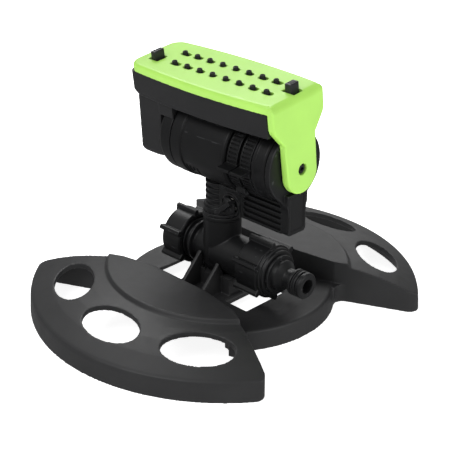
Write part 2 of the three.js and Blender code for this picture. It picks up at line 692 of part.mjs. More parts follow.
function tripParts() {
  const middle = THREE.MathUtils.degToRad(222);
  const spoke = unite(
    rodX(34.1, 35.1, 4.5, 24),
    block(34.1, 35.1, 3, 26.4, -1.6, 1.6).rotate([222, 0, 0]),
  );
  const paddleOutline = [
    ...arc(0, 0, 26.6, middle - 0.1, middle + 0.1, 3),
    ...arc(0, 0, 24, middle + 0.16, middle - 0.16, 3),
  ];
  const paddle = slab(paddleOutline, 29.6, 39.6);
  const lever = cut(unite(spoke, paddle), rodX(33, 36, 1.75, 16));
  const vane = cut(
    slab([...arc(0, 0, 3.4, Math.PI, 0, 6), ...arc(0, 0, 18, -1.32, -1.82, 4)], 19.4, 21.2),
    rodX(19, 22, 1.75, 16),
  );
  return [
    part("trip_lever", onAxis(lever), DRUM_BLACK),
    part("trip_shaft", onAxis(rodX(19, 46.1, 1.6, 20)), STEEL),
    part("reverser_vane", onAxis(vane), NATURAL),
  ];
}

function toggleSpring() {
  const points = [[39, 0, 15.4], [39, 2.4, 13], [39, -2.4, 10.4], [39, 2.4, 7.8], [39, 0, 5.2]];
  return part("toggle_spring", onAxis(wire(points, 0.45)), STEEL);
}

function pivotPin() {
  const body = turnX([[46.8, 0], [46.8, 1.7], [53, 1.7], [57.8, 1.7], [57.8, 3], [61.6, 3],
    [62.2, 2.2], [62.2, 0]], 24);
  return part("arm_pivot_pin", onAxis(body), STEEL);
}

// ---------------------------------------------------------------- tilting head
// The head is drawn upright about its pivot and leaned over as one group.
// Barrel-shaped plan outline: bowed long sides, and ends that round into them.
function barrel(x0, x1, endHalf, midHalf, bend = 3, steps = 8) {
  const corner = Math.max(bend, 0.6);
  const middle = (x0 + x1) / 2;
  const reach = (x1 - x0) / 2;
  const half = (x) => endHalf + (midHalf - endHalf) * (1 - ((x - middle) / reach) ** 2);
  const inner = x0 + corner;
  const round = arc(inner, half(inner) - corner, corner, Math.PI / 2, Math.PI, 4);
  const side = Array.from({ length: steps + 1 }, (_, i) => {
    const x = x1 + ((inner - x1) * i) / steps;
    return new THREE.Vector2(x, half(x));
  });
  const upper = [...side, ...round.slice(1)];
  const lower = upper.map((p) => new THREE.Vector2(p.x, -p.y)).reverse();
  return [...upper, ...lower];
}

function nozzleTray() {
  const { leftX, rightX, endHalf, midHalf, corner, floorZ, lowZ, topZ } = TRAY;
  const grown = (by) =>
    barrel(leftX - by, rightX + by, endHalf + by, midHalf + by, corner + by);
  const body = cut(
    raise(grown(0), lowZ, topZ),
    raise(barrel(-26, rightX - 2.2, endHalf - 2.4, midHalf - 2.4), lowZ - 1, floorZ),
    raise(grown(-2.4), 35.9, topZ + 1),
    raise(grown(-4.6), floorZ + 2, 36),
    rodZ(lowZ - 1, floorZ + 3, 4.4, 24).translate([-39, 0, 0]),
  );
  const chamfer = across([[leftX - 4, lowZ - 1], [leftX + 9, lowZ - 1], [leftX + 7, lowZ],
    [leftX - 4, lowZ + 5.5]], -30, 30);
  return part("nozzle_tray", cut(body, chamfer), BLACK);
}

function waterwayArm() {
  const { half, bottomZ, corner } = ARM;
  const outline = [
    new THREE.Vector2(half - 0.6, 24.2),
    new THREE.Vector2(-half + 0.6, 24.2),
    ...arc(corner - half, bottomZ + corner, corner, Math.PI, 1.5 * Math.PI, 7),
    ...arc(half - corner, bottomZ + corner, corner, 1.5 * Math.PI, 2 * Math.PI, 7),
  ];
  const round = slab(outline, -48, -30);
  // Shoulders that reach over the drum's cap, cut to clear it.
  const shoulders = [-1, 1].map((side) =>
    block(-31, -19.5, ...(side < 0 ? [-half, -13] : [13, half]), 10, 24.2).subtract(
      rodX(-32, -18, DRUM.outerR + 0.7, 32)));
  const body = cut(
    unite(round, ...shoulders),
    rodX(-42, -29, SHAFT.outerR + 0.3, 24),
    rodZ(0, 25, 4.4, 24).translate([-38.6, 0, 0]),
  );
  return part("left_waterway_arm", body, BLACK);
}

function nozzlePlaces(row) {
  const front = row === "front";
  const startX = NOZZLES.frontX + (front ? 0 : NOZZLES.stagger);
  const y = front ? -NOZZLES.rowY : NOZZLES.rowY;
  return Array.from({ length: NOZZLES.perRow }, (_, i) => ({
    x: startX + (i - (NOZZLES.perRow - 1) / 2) * NOZZLES.pitch,
    y,
    outward: Math.abs(i - (NOZZLES.perRow - 1) / 2),
  }));
}
const allNozzles = () => [...nozzlePlaces("front"), ...nozzlePlaces("back")];

function nozzleStrip(name, row) {
  const places = nozzlePlaces(row);
  const middle = (places[0].x + places[NOZZLES.perRow - 1].x) / 2;
  const length = places[NOZZLES.perRow - 1].x - places[0].x + 9;
  const { rowY, tipZ } = NOZZLES;
  const sign = Math.sign(places[0].y);
  let body = raise(stadium(length, 4.4), 38.3, 39.9).translate([middle, sign * rowY, 0]);
  const tip = turnZ([[39.5, 0], [39.5, 2], [tipZ, 1.4], [tipZ, 0]], 8);
  const root = rodZ(36.4, 38.8, 1.8, 6);
  const bore = rodZ(36, tipZ + 1, 0.7, 5);
  for (const { x, y } of places) {
    const at = [x, y, 0];
    body = cut(unite(body, tip.translate(at), root.translate(at)), bore.translate(at));
  }
  return part(name, body, RUBBER);
}

function manifoldPlate() {
  const { leftX, rightX, endHalf, midHalf, corner } = TRAY;
  const by = 2.7;
  const outline = barrel(leftX + by, rightX - by, endHalf - by, midHalf - by, corner - by);
  let body = raise(outline, 36.9, 38.1);
  const hole = rodZ(36, 39, 2.2, 6);
  for (const { x, y } of allNozzles()) body = cut(body, hole.translate([x, y, 0]));
  return part("manifold_plate", body, NATURAL);
}

function trayGasket() {
  const { leftX, rightX, endHalf, midHalf, corner } = TRAY;
  const ring = (by) =>
    barrel(leftX + by, rightX - by, endHalf - by, midHalf - by, corner - by);
  return part("tray_gasket", cut(raise(ring(2.8), 36, 36.8), raise(ring(4.5), 35, 38)), RUBBER);
}

// The right arm of the cover, seen along X: wide shoulders narrowing to a round lower end.
function armOutline() {
  const side = [[12.5, 18.5], [18.6, 27.5], [19.4, 31], [19.4, COVER.topZ - 1.6],
    [18.2, COVER.topZ]];
  const right = side.map(([y, z]) => new THREE.Vector2(y, z));
  const left = side.map(([y, z]) => new THREE.Vector2(-y, z)).reverse();
  return [...arc(0, -2.6, 12.2, Math.PI, 2 * Math.PI, 14), ...right, ...left];
}

// Each row of nozzles has its own slider; the front one is worked by the tab at the -X end
// and the back one by the tab at the +X end.
const TABS = {
  front: { x0: -44, x1: -41, y0: -10, y1: -2 },
  back: { x0: 53.4, x1: 57.2, y0: -0.2, y1: 6.8 },
};

function tabSlot(row) {
  const { x0, x1, y0, y1 } = TABS[row];
  const room = SLIDER.travel + CLEAR;
  return block(x0 - room, x1 + room, y0 - CLEAR, y1 + CLEAR, SLIDER.topZ - 0.4, 50);
}

function topCover() {
  const { leftX, endHalf, midHalf, corner, lowZ, topZ, skin } = COVER;
  const edgeX = 57.8;
  const plan = (by) =>
    barrel(leftX + by, edgeX + 4.4 - by, endHalf - by, midHalf - by, corner - by);
  let body = unite(raise(plan(0), lowZ, topZ - 1.2), raise(plan(1), topZ - 1.3, topZ));
  body = cut(body, raise(plan(2.2), lowZ - 1, topZ - skin).intersect(
    block(-60, edgeX - 0.4, -30, 30, 0, 60)));
  const arm = slab(armOutline(), edgeX, COVER.rightX);
  const round = unite(
    block(50, COVER.rightX - 3.4, -25, 25, -20, 60),
    block(50, 70, -25, 25, -20, topZ - 3.4),
    rodY(-25, 25, 3.4, 20).translate([COVER.rightX - 3.4, 0, topZ - 3.4]),
  );
  body = unite(body.intersect(block(-60, edgeX + 0.5, -30, 30, 0, 60)), arm.intersect(round));
  for (const { x, y, outward } of allNozzles()) {
    const slot = raise(stadium(4.6 + outward * 1.1, 2, 3), 41, 47);
    body = cut(body, slot.translate([x, y, 0]));
  }
  body = cut(body, tabSlot("front"), tabSlot("back"), rodX(50, 70, 3.35, 20));
  return part("top_cover", body, LIME);
}

// One of the two sliding plates that splay a row of nozzles.
function widthSlider(name, row) {
  const { lowZ, topZ } = SLIDER;
  const { x0, x1, y0, y1 } = TABS[row];
  const places = nozzlePlaces(row);
  const sign = Math.sign(places[0].y);
  const left = Math.min(x0, places[0].x - 5.2);
  const right = Math.max(x1 - SLIDER.travel, places[NOZZLES.perRow - 1].x + 5.2);
  const [near, far] = [sign * 0.5, sign * 12.2].sort((p, q) => p - q);
  let body = block(left, right, near, far, lowZ, topZ);
  for (const { x, y } of places) {
    const slot = raise(stadium(4.8 + 2 * SLIDER.travel, 2.2, 3), lowZ - 1, topZ + 1);
    body = cut(body, slot.translate([x, y, 0]));
  }
  return part(name, unite(body, block(x0, x1, y0, y1, topZ - 0.2, 49.4)), BLACK);
}

// ---------------------------------------------------------------- assembly
const sprinkler = new THREE.Group();
const drive = driveParts();

const base = new THREE.Group();
base.add(
  basePlate(),
  pedestalScrew("pedestal_screw_front", -5.5),
  pedestalScrew("pedestal_screw_back", 5.5),
  teeBody(),
  hoseNipple(),
  ...pipeSmallParts(),
  riserBody(),
  ...riserSmallParts(),
  drumLeftCap(),
  drumBody(),
  drumRightCover(),
  ...drive.fixed,
  toggleSpring(),
  pivotPin(),
);

const controls = new THREE.Group();
controls.add(
  endCap(),
  inletNut(),
  flowKnob(),
  valvePlug(),
  sweepRing("sweep_ring_left", 25.5, 33.6),
  sweepRing("sweep_ring_right", 35.6, 43.7),
  ...tripParts(),
  ...drive.turbine,
  ...drive.idler,
);

const head = new THREE.Group();
head.position.z = PIVOT_Z;
head.rotation.x = HEAD_TILT;
head.add(
  ...outputParts(),
  waterwayArm(),
  nozzleTray(),
  trayGasket(),
  manifoldPlate(),
  nozzleStrip("nozzle_strip_front", "front"),
  nozzleStrip("nozzle_strip_back", "back"),
  topCover(),
  widthSlider("width_slider_front", "front"),
  widthSlider("width_slider_back", "back"),
);

const pieces = new THREE.Group();
pieces.position.x = -BASE.originX;
pieces.add(base, controls, head);
sprinkler.add(pieces);
export default sprinkler;
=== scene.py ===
"""Oscillating lawn sprinkler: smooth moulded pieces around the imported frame, a studio and a camera.

Pieces are drawn in millimetres about the riser's axis, as the parts of the frame are, and are
turned into metres in the frame's own place when they are finished.
"""

import json
import math

import bmesh
import bpy
from mathutils import Matrix, Vector


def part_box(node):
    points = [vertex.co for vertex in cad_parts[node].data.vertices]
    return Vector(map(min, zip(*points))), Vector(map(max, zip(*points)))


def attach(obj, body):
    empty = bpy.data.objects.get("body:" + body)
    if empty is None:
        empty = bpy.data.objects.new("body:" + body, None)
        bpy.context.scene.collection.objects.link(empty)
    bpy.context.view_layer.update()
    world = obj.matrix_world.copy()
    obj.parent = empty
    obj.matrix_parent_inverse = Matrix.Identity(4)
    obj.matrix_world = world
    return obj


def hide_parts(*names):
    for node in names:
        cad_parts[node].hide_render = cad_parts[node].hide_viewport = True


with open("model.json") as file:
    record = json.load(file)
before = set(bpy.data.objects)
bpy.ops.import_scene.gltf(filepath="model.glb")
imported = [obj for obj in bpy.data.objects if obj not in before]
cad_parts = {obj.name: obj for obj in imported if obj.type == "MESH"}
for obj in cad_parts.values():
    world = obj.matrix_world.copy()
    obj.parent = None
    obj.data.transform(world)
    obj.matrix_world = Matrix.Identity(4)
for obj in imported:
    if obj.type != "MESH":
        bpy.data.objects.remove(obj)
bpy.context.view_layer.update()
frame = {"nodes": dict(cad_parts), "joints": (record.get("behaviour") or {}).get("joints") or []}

# ---------------------------------------------------------------- driving dimensions
MM = 0.001


def middle(node):
    low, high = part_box(node)
    return (low + high) / 2 / MM


def joint_place(name):
    joint = next(j for j in frame["joints"] if j["name"] == name)
    return Vector(joint["pos_m"]) / MM


RISER_X = middle("riser_lock_ring").x
PIVOT_Z = joint_place("head_oscillation").z
PIPE_Z = joint_place("end_cap_turn").z
VALVE_Z = joint_place("flow_valve_turn").z
VALVE_X = joint_place("flow_valve_turn").x - RISER_X
HEAD_TILT = math.radians(7)

# base: the lobes' rim, the disc between them, the lobes' ends, the platforms and the oval holes
RIM_R, RIM_X = 119.8, 1.6
DISC_R, DISC_TOP, CENTRE_X = 66, 11.9, 4.5
END_SLOPE, END_OFFSET, END_FILLET = 0.47, 19.7, 6
ENDS_X, FRONT_END_X = 5.2, 2.2
STEP_R, STEP_FOOT, PLATFORM_Z = 73, 24.2, 26.3
HOLE_R, HOLE_ALONG, HOLE_ACROSS, HOLE_SPREAD, HOLE_X = 94.6, 21, 12, 34.5, 0.8
SHELL_T, LIP_W, LIP_T = 2.6, 2, 3.4
SCREW_Y = 5.5

# pipe and drum
NUT_R, NUT_BORE = 16.5, 13.7
DRUM_R, NECK_R, LEFT_CAP_R = 24.2, 18.6, 24.4
DRUM_STEPS = 144
TRIP_TURN = math.radians(222)
SWEEP_RINGS = {"left": (25.5, 33.6), "right": (35.6, 43.7)}

# head: the tray's and cover's left end, the cover's end and arm, and the nozzles' rows
HEAD_LEFT, HEAD_TOP = -53.2, 44.6
COVER_EDGE, COVER_RIGHT = 57.8, 63
NOZZLES, NOZZLE_PITCH, ROW_Y, ROW_X, ROW_SHIFT = 8, 10.38, 6.7, 9.6, 5.13
TABS = {"front": (-43.6, -40.2, -10, -2), "back": (53.2, 57.6, -0.2, 6.8)}

# ---------------------------------------------------------------- mesh building
depsgraph = bpy.context.evaluated_depsgraph_get


def object_from(mesh_data, name="shape"):
    mesh = bpy.data.meshes.new(name)
    bmesh.ops.recalc_face_normals(mesh_data, faces=mesh_data.faces)
    mesh_data.to_mesh(mesh)
    mesh_data.free()
    made = bpy.data.objects.new(name, mesh)
    bpy.context.scene.collection.objects.link(made)
    return made


def lathe(axis, profile, steps=96):
    """A solid of revolution from (station, radius) pairs, closed or running axis to axis."""
    closed = profile[0] == profile[-1]
    points = profile[:-1] if closed else profile
    shape = bmesh.new()
    rings = []
    for station, radius in points:
        count = steps if radius else 1
        ring = []
        for i in range(count):
            turn = 2 * math.pi * i / steps
            a, b = radius * math.cos(turn), radius * math.sin(turn)
            place = {"x": (station, a, b), "y": (b, station, a), "z": (a, b, station)}[axis]
            ring.append(shape.verts.new(place))
        rings.append(ring)
    pairs = list(zip(rings, rings[1:])) + ([(rings[-1], rings[0])] if closed else [])
    for low, high in pairs:
        for i in range(steps):
            corners = [low[i % len(low)], low[(i + 1) % len(low)],
                       high[(i + 1) % len(high)], high[i % len(high)]]
            face = list(dict.fromkeys(corners))
            if len(face) > 2:
                shape.faces.new(face)
    return object_from(shape)


def prism(outline, start, end, plane="xy"):
    """An outline in a plane, drawn out along the plane's normal."""
    place = {
        "xy": lambda u, v, w: (u, v, w),
        "yz": lambda u, v, w: (w, u, v),
        "xz": lambda u, v, w: (u, w, v),
    }[plane]
    shape = bmesh.new()
    ends = [[shape.verts.new(place(u, v, w)) for u, v in outline] for w in (start, end)]
    shape.faces.new(ends[0])
    shape.faces.new(list(reversed(ends[1])))
    count = len(outline)
    for i in range(count):
        j = (i + 1) % count
        shape.faces.new([ends[0][i], ends[1][i], ends[1][j], ends[0][j]])
    return object_from(shape)


def block(x0, x1, y0, y1, z0, z1):
    return prism([(x0, y0), (x1, y0), (x1, y1), (x0, y1)], z0, z1)


def rod(axis, start, end, radius, steps=64):
    return lathe(axis, [(start, 0), (start, radius), (end, radius), (end, 0)], steps)


def ring(axis, start, end, inner, outer, steps=64):
    return lathe(axis, [(start, inner), (start, outer), (end, outer), (end, inner), (start, inner)],
                 steps)


def eased(profile, radius=0.4, steps=3):
    """A profile with its corners rounded, as a moulding's are."""
    closed = profile[0] == profile[-1]
    points = [Vector(p) for p in (profile[:-1] if closed else profile)]
    count = len(points)
    rounded = []
    for i, point in enumerate(points):
        ends = not closed and i in (0, count - 1)
        before, after = points[i - 1], points[(i + 1) % count]
        if ends or point.y == 0:
            rounded.append(tuple(point))
            continue
        room = min((before - point).length, (after - point).length) * 0.45
        reach = min(radius, room)
        one, two = point.lerp(before, reach / (before - point).length), \
            point.lerp(after, reach / (after - point).length)
        for k in range(steps + 1):
            t = k / steps
            rounded.append(tuple((1 - t) ** 2 * one + 2 * t * (1 - t) * point + t * t * two))
    return rounded + ([rounded[0]] if closed else [])


def arc(cx, cy, radius, start, end, steps):
    return [(cx + radius * math.cos(start + (end - start) * i / steps),
             cy + radius * math.sin(start + (end - start) * i / steps)) for i in range(steps + 1)]


def stadium(length, radius):
    half = length / 2 - radius
    return (arc(half, 0, radius, -math.pi / 2, math.pi / 2, 12)
            + arc(-half, 0, radius, math.pi / 2, 1.5 * math.pi, 12))


def moved(obj, by=(0, 0, 0), turn=0.0, axis="X"):
    obj.data.transform(Matrix.Translation(by) @ Matrix.Rotation(turn, 4, axis))
    return obj


def copy_of(obj):
    twin = bpy.data.objects.new("shape", obj.data.copy())
    bpy.context.scene.collection.objects.link(twin)
    return twin


def drop(obj):
    mesh = obj.data
    bpy.data.objects.remove(obj)
    bpy.data.meshes.remove(mesh)


def settle(obj):
    """Bakes an object's modifiers into its mesh."""
    bpy.context.view_layer.update()
    mesh = bpy.data.meshes.new_from_object(obj.evaluated_get(depsgraph()))
    obj.modifiers.clear()
    old, obj.data = obj.data, mesh
    bpy.data.meshes.remove(old)
    return obj


def combine(operation, body, others):
    for other in others:
        modifier = body.modifiers.new("boolean", "BOOLEAN")
        modifier.operation = operation
        modifier.solver = "MANIFOLD"
        modifier.object = other
        settle(body)
        drop(other)
    return body


def unite(body, *others):
    return combine("UNION", body, others)


def cut(body, *others):
    return combine("DIFFERENCE", body, others)


def common(body, *others):
    return combine("INTERSECT", body, others)


def around(obj, count, first=0.0):
    """Copies of an object spaced evenly about the X axis."""
    twins = [moved(copy_of(obj), turn=first + 2 * math.pi * i / count) for i in range(count)]
    drop(obj)
    return twins


def moulded(obj, voxel, rounds=3, keep=1.0):
    """Rounds every edge slightly by remeshing the solid finely and smoothing it."""
    remesh = obj.modifiers.new("remesh", "REMESH")
    remesh.mode = "VOXEL"
    remesh.voxel_size = voxel
    smooth = obj.modifiers.new("smooth", "SMOOTH")
    smooth.factor = 0.5
    smooth.iterations = rounds
    if keep < 1:
        decimate = obj.modifiers.new("decimate", "DECIMATE")
        decimate.ratio = keep
    return settle(obj)


def edge_rounded(obj, width, segments=4):
    """Rounds the edges that are sharper than 50 degrees."""
    bevel = obj.modifiers.new("bevel", "BEVEL")
    bevel.width = width
    bevel.segments = segments
    bevel.limit_method = "ANGLE"
    bevel.angle_limit = math.radians(50)
    return settle(obj)


def piece(name, obj, material, stands_for, body, leaning=False):
    """Puts a finished shape in its place in the frame, as one named piece on its body."""
    place = Matrix.Translation((RISER_X, 0, 0))
    if leaning:
        place @= Matrix.Translation((0, 0, PIVOT_Z)) @ Matrix.Rotation(HEAD_TILT, 4, "X")
    obj.data.transform(Matrix.Scale(MM, 4) @ place)
    obj.name = obj.data.name = name
    obj.data.materials.clear()
    obj.data.materials.append(material)
    for polygon in obj.data.polygons:
        polygon.use_smooth = True
    obj.data.set_sharp_from_angle(angle=math.radians(38))
    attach(obj, body)
    if stands_for:
        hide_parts(stands_for)
    return obj


# ---------------------------------------------------------------- materials
def surface(name, colour, roughness, grain=0.0, grain_size=0.0006, tint=0.08, edge_wear_and_highlight=0.0,
            worn_and_highlit=(0.5, 0.5, 0.5), metallic=0.0, coat=0.0, gloss=0.5):
    """Moulded or machined: mottled colour, paler edges that are part wear and part painted highlight,
    fine texture and uneven gloss.
    """
    material = bpy.data.materials.new(name)
    material.use_nodes = True
    nodes, links = material.node_tree.nodes, material.node_tree.links
    shader = nodes["Principled BSDF"]
    shader.inputs["Metallic"].default_value = metallic
    shader.inputs["Specular IOR Level"].default_value = gloss
    shader.inputs["Coat Weight"].default_value = coat
    shader.inputs["Coat Roughness"].default_value = 0.25
    place = nodes.new("ShaderNodeTexCoord").outputs["Object"]

    def noise(scale, detail):
        texture = nodes.new("ShaderNodeTexNoise")
        texture.inputs["Scale"].default_value = scale
        texture.inputs["Detail"].default_value = detail
        links.new(place, texture.inputs["Vector"])
        return texture.outputs["Fac"]

    def ramp(value, low, high, stops=(0.3, 0.7)):
        node = nodes.new("ShaderNodeValToRGB")
        for element, position, shade in zip(node.color_ramp.elements, stops, (low, high)):
            element.position = position
            element.color = (*shade, 1)
        links.new(value, node.inputs["Fac"])
        return node.outputs["Color"]

    dark = tuple(c * (1 - tint) for c in colour)
    light = tuple(min(1.0, c * (1 + tint)) for c in colour)
    shade = ramp(noise(45, 4), dark, light)
    # Convex edges are lightened towards a paler colour by pointiness: part edge wear, part painted
    # highlight along the edges.
    if edge_wear_and_highlight:
        edges = nodes.new("ShaderNodeNewGeometry").outputs["Pointiness"]
        amount = ramp(edges, (0, 0, 0), (edge_wear_and_highlight, edge_wear_and_highlight, edge_wear_and_highlight), (0.52, 0.6))
        mix = nodes.new("ShaderNodeMixRGB")
        links.new(amount, mix.inputs["Fac"])
        links.new(shade, mix.inputs["Color1"])
        mix.inputs["Color2"].default_value = (*worn_and_highlit, 1)
        shade = mix.outputs["Color"]
    links.new(shade, shader.inputs["Base Color"])

    unevenness = 0.07
    spread = nodes.new("ShaderNodeMapRange")
    spread.inputs["To Min"].default_value = roughness - unevenness
    spread.inputs["To Max"].default_value = roughness + unevenness
    links.new(noise(160, 3), spread.inputs["Value"])
    links.new(spread.outputs["Result"], shader.inputs["Roughness"])

    if grain:
        bump = nodes.new("ShaderNodeBump")
        bump.inputs["Strength"].default_value = 0.6
        bump.inputs["Distance"].default_value = grain
        links.new(noise(1 / grain_size, 2), bump.inputs["Height"])
        links.new(bump.outputs["Normal"], shader.inputs["Normal"])
    return material


# The paler edge colours given below are part wear and part painted highlight on the edges.
BLACK = surface("moulded_black", (0.026, 0.0261, 0.027), 0.45, grain=0.00004, edge_wear_and_highlight=0.35,
                worn_and_highlit=(0.1, 0.1, 0.105), gloss=0.3)
PIPE_BLACK = surface("pipe_black", (0.0092, 0.0094, 0.01), 0.38, grain=0.00002, edge_wear_and_highlight=0.55,
                     worn_and_highlit=(0.075, 0.077, 0.08), gloss=0.3)
DRUM_BLACK = surface("drum_black", (0.0066, 0.0067, 0.0072), 0.4, grain=0.00002, edge_wear_and_highlight=0.5,
                     worn_and_highlit=(0.055, 0.057, 0.06), gloss=0.26)
TRAY_BLACK = surface("tray_black", (0.0165, 0.0165, 0.0175), 0.45, grain=0.00003, edge_wear_and_highlight=0.4,
                     worn_and_highlit=(0.06, 0.06, 0.063), gloss=0.3)
LIME = surface("lime_plastic", (0.42, 0.77, 0.125), 0.36, grain=0.000015, tint=0.04, edge_wear_and_highlight=0.3,
               worn_and_highlit=(0.5, 0.84, 0.2), coat=0.1, gloss=0.4)
RUBBER = surface("black_rubber", (0.011, 0.0112, 0.012), 0.65, grain=0.00005,
                 grain_size=0.0004, gloss=0.35)
NATURAL = surface("natural_acetal", (0.72, 0.70, 0.63), 0.42, grain=0.00002)
STEEL = surface("stainless", (0.55, 0.56, 0.58), 0.28, grain=0.00001, grain_size=0.0003,
                metallic=1.0)
BRASS = surface("machined_brass", (0.60, 0.44, 0.16), 0.3, grain=0.00001, grain_size=0.0003,
                metallic=1.0)


# ---------------------------------------------------------------- base
def dome(inset):
    """Height of the lobes over a radius, as one smooth crown with a rounded rim."""
    r = RIM_R - inset
    foot = -1 if inset else 0
    stations = [(13 - inset, r - 2.9), (17.1 - inset, 106), (20.4 - inset, 95),
                (22.7 - inset, 84), (STEP_FOOT - inset, STEP_R), (STEP_FOOT - inset, 0)]
    rim = [(foot, 0), (foot, r), (10 - inset, r - 0.7), (12.2 - inset, r - 1.3)]
    return rim + stations


def lobe_end(inset, shift):
    """One end of a lobe's outline, from the valley wall to the rim."""
    wall, wall_end = 38, 42.6
    norm = math.hypot(1, END_SLOPE)
    line = (END_OFFSET - END_SLOPE * shift) / norm + inset
    radius, fillet = RIM_R - inset, END_FILLET - inset
    reach = math.sqrt((radius - fillet) ** 2 - (line + fillet) ** 2)
    cx = (-END_SLOPE * (line + fillet) + reach) / norm
    cy = (line + fillet + END_SLOPE * reach) / norm
    rim_angle = math.atan2(cy, cx)
    wall_x = (wall_end + inset - line * norm) / END_SLOPE
    points = [(22, wall + inset), (wall_x, wall_end + inset)]
    return points + arc(cx, cy, fillet, math.atan2(-1, END_SLOPE), rim_angle, 12), rim_angle


def end_place(sx, side):
    """How far an end of a lobe sits towards the inlet: the front lobe's right one sits less."""
    return FRONT_END_X if (sx, side) == (1, -1) else ENDS_X


def lobe_plan(inset, side):
    right, right_angle = lobe_end(inset, end_place(1, side) - RIM_X)
    left, left_angle = lobe_end(inset, RIM_X - end_place(-1, side))
    rim = arc(0, 0, RIM_R - inset + 3, right_angle - 0.005, math.pi - left_angle + 0.005, 40)
    return right + rim + [(-x, y) for x, y in reversed(left)]


def oval(turn, grow, z0, z1):
    """One hole's shape, grown by a margin, at -1, 0 or 1 times the holes' spread."""
    outline = [((HOLE_ACROSS + grow) * math.cos(a), (HOLE_ALONG + grow) * math.sin(a))
               for a in (2 * math.pi * i / 72 for i in range(72))]
    shape = moved(prism(outline, z0, z1), (HOLE_R, 0, 0))
    moved(shape, turn=math.radians(90 + turn * HOLE_SPREAD), axis="Z")
    return moved(shape, (CENTRE_X - RIM_X + HOLE_X, 0, 0))


def lobe(side):
    """One hollow lobe with its platform and three lipped holes, on the back (1) or front (-1)."""
    step = [(STEP_FOOT - 2, 0), (STEP_FOOT - 2, STEP_R + 2.2), (STEP_FOOT - 0.5, STEP_R + 2.1),
            (PLATFORM_Z - 0.5, STEP_R + 0.9), (PLATFORM_Z, STEP_R + 0.3), (PLATFORM_Z, 0)]
    platform = moved(lathe("z", step, 160), (CENTRE_X - RIM_X, 0, 0))
    outer = common(unite(lathe("z", dome(0), 200), platform), prism(lobe_plan(0, side), -2, 60))
    inner = common(lathe("z", dome(SHELL_T), 96), prism(lobe_plan(SHELL_T, side), -2, 60))
    shell = cut(copy_of(outer), inner)
    skin = cut(outer, lathe("z", dome(LIP_T), 96))
    lips = [common(oval(turn, LIP_W, 9.5, 40), copy_of(skin)) for turn in (-1, 0, 1)]
    drop(skin)
    shell = cut(unite(shell, *lips), *[oval(turn, 0, -1, 50) for turn in (-1, 0, 1)])
    if side < 0:
        shell.data.transform(Matrix.Scale(-1, 4, (0, 1, 0)))
        shell.data.flip_normals()
    return moved(shell, (RIM_X, 0, 0))


def valley_floor():
    r, top, low = DISC_R, DISC_TOP, 9
    full = lathe("z", [(0, 0), (0, r), (top - 1, r - 1.3), (top - 0.2, r - 1.9), (top, r - 3),
                       (top - 0.3, r - 4.6), (low + 0.6, 50), (low, 44), (low, 0)], 160)
    hollow = lathe("z", [(-1, 0), (-1, r - 2.4), (top - 3.4, r - 4), (top - 2.4, r - 4.6),
                         (low - 2.4, 46), (low - 2.4, 0)], 96)
    strip = block(-80, 80, -43.6, 43.6, -2, 20)
    return moved(common(cut(full, hollow), strip), (CENTRE_X, 0, 0))


def corner_webs():
    """The rounds in plan between the disc's rim and the lobes' ends."""
    radius = END_FILLET
    norm = math.hypot(1, END_SLOPE)
    webs = []
    for sx, sy in ((1, 1), (1, -1), (-1, 1), (-1, -1)):
        offset = END_OFFSET - END_SLOPE * end_place(sx, sy) * sx - radius * norm
        offset += END_SLOPE * CENTRE_X * sx
        a, b, c = norm ** 2, 2 * END_SLOPE * offset, offset ** 2 - (DISC_R + radius) ** 2
        u = (-b + math.sqrt(b * b - 4 * a * c)) / (2 * a)
        v = END_SLOPE * u + offset
        to_disc, to_wall = math.atan2(-v, -u), math.atan2(1, -END_SLOPE)
        round_side = arc(u, v, radius, to_disc + 2 * math.pi, to_wall, 10)
        outline = [(u - 9, v + 8), (u - 11, v - 3)] + round_side
        place = [(CENTRE_X + sx * x, sy * y) for x, y in outline]
        webs.append(prism(place, 0, DISC_TOP - 0.2))
    return webs


def pedestal():
    """The hollow block under the tee, with its two raked webs and two screw bosses."""
    x0, x1, half, wall = -17.2, 16.8, 11, SHELL_T
    body = cut(block(x0, x1, -half, half, 3, 20),
               block(x0 + wall, x1 - wall, -half + wall, half - wall, 2, 15.6))
    for x in (-8.7, 8.7):
        for side in (-1, 1):
            rake = [(9, 31.2), (10.9, 31.2), (33.4, 8), (9, 8)]
            plate = prism([(side * y, z) for y, z in rake], x - 1.2, x + 1.2, "yz")
            body = unite(body, plate)
    for y in (-SCREW_Y, SCREW_Y):
        body = unite(body, moved(rod("z", 8.6, 17, 4.8), (0, y, 0)))
    for y in (-SCREW_Y, SCREW_Y):
        body = cut(body, moved(rod("z", 2, 12, 3.7), (0, y, 0)),
                   moved(rod("z", 11, 20, 1.9), (0, y, 0)))
    return cut(
        body,
        rod("z", 18, 61, 11.9),
        moved(rod("x", -35, 0, 10.5), (0, 0, PIPE_Z)),
        moved(rod("x", -35, -15.4, 13.7), (0, 0, PIPE_Z)),
        moved(rod("x", 0, 27.5, 12.9), (0, 0, PIPE_Z)),
    )


def base():
    plate = unite(lobe(1), lobe(-1), valley_floor(), *corner_webs())
    under_pedestal = block(-14.6, 14.2, -8.4, 8.4, -1, 14)
    windows = [block(x0, x1, -17, 17, -1, 14) for x0, x1 in ((-39.5, -20), (18.4, 37))]
    valley_walls = [block(-42, 50, y0, y1, -1, 6.4) for y0, y1 in ((-44.4, -36), (36, 44.4))]
    plate = cut(plate, under_pedestal, *windows, *valley_walls)
    shell = moulded(unite(plate, pedestal()), 0.5, rounds=2, keep=0.28)
    piece("base_shell", shell, BLACK, "base_plate", "base_unit")


# ---------------------------------------------------------------- water pipe
def on_pipe(obj):
    return moved(obj, (0, 0, PIPE_Z))


